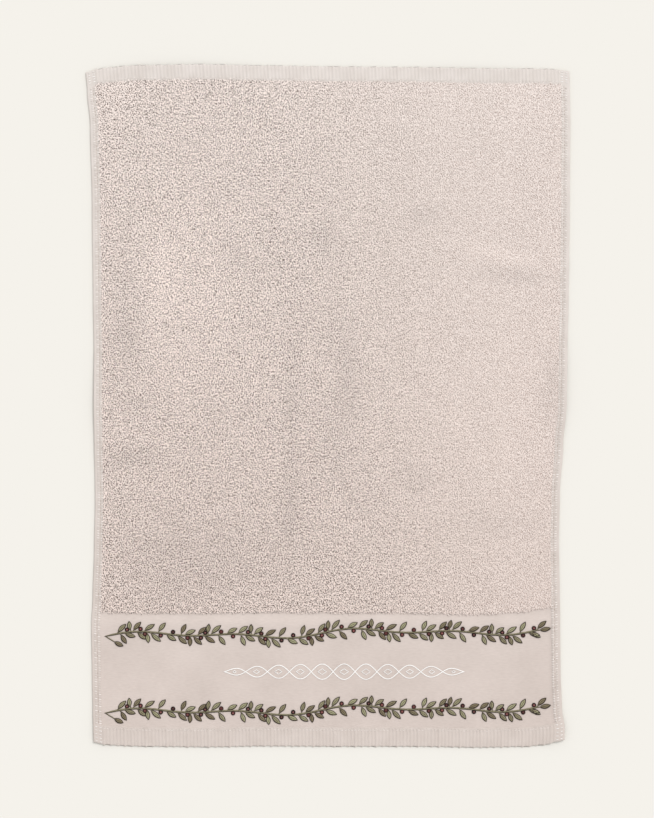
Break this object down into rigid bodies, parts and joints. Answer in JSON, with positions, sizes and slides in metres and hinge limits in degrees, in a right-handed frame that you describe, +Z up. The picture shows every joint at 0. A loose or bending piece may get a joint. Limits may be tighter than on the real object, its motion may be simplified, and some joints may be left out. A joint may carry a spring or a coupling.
{
  "type": "hand towel",
  "caption": "Flat-laid hand towel: terry field, ribbed end hems, and a flat woven band crossed by two raised leaf and berry garlands.",
  "frame": {"origin": "bottom centre of the bounding box, on the surface the towel lies on", "axes": "+X across the width, +Y along the length from the banded end to the plain end, +Z up, out of the cloth's face"},
  "size_m": [0.499, 0.704, 0.007],
  "materials": {
    "cotton_blush": "matte",
    "thread_sage": "satin thread"
  },
  "bodies": {
    "root": {"towel_cloth": "cotton_blush", "garland_upper": "thread_sage", "garland_lower": "thread_sage"}
  },
  "joints": []
}
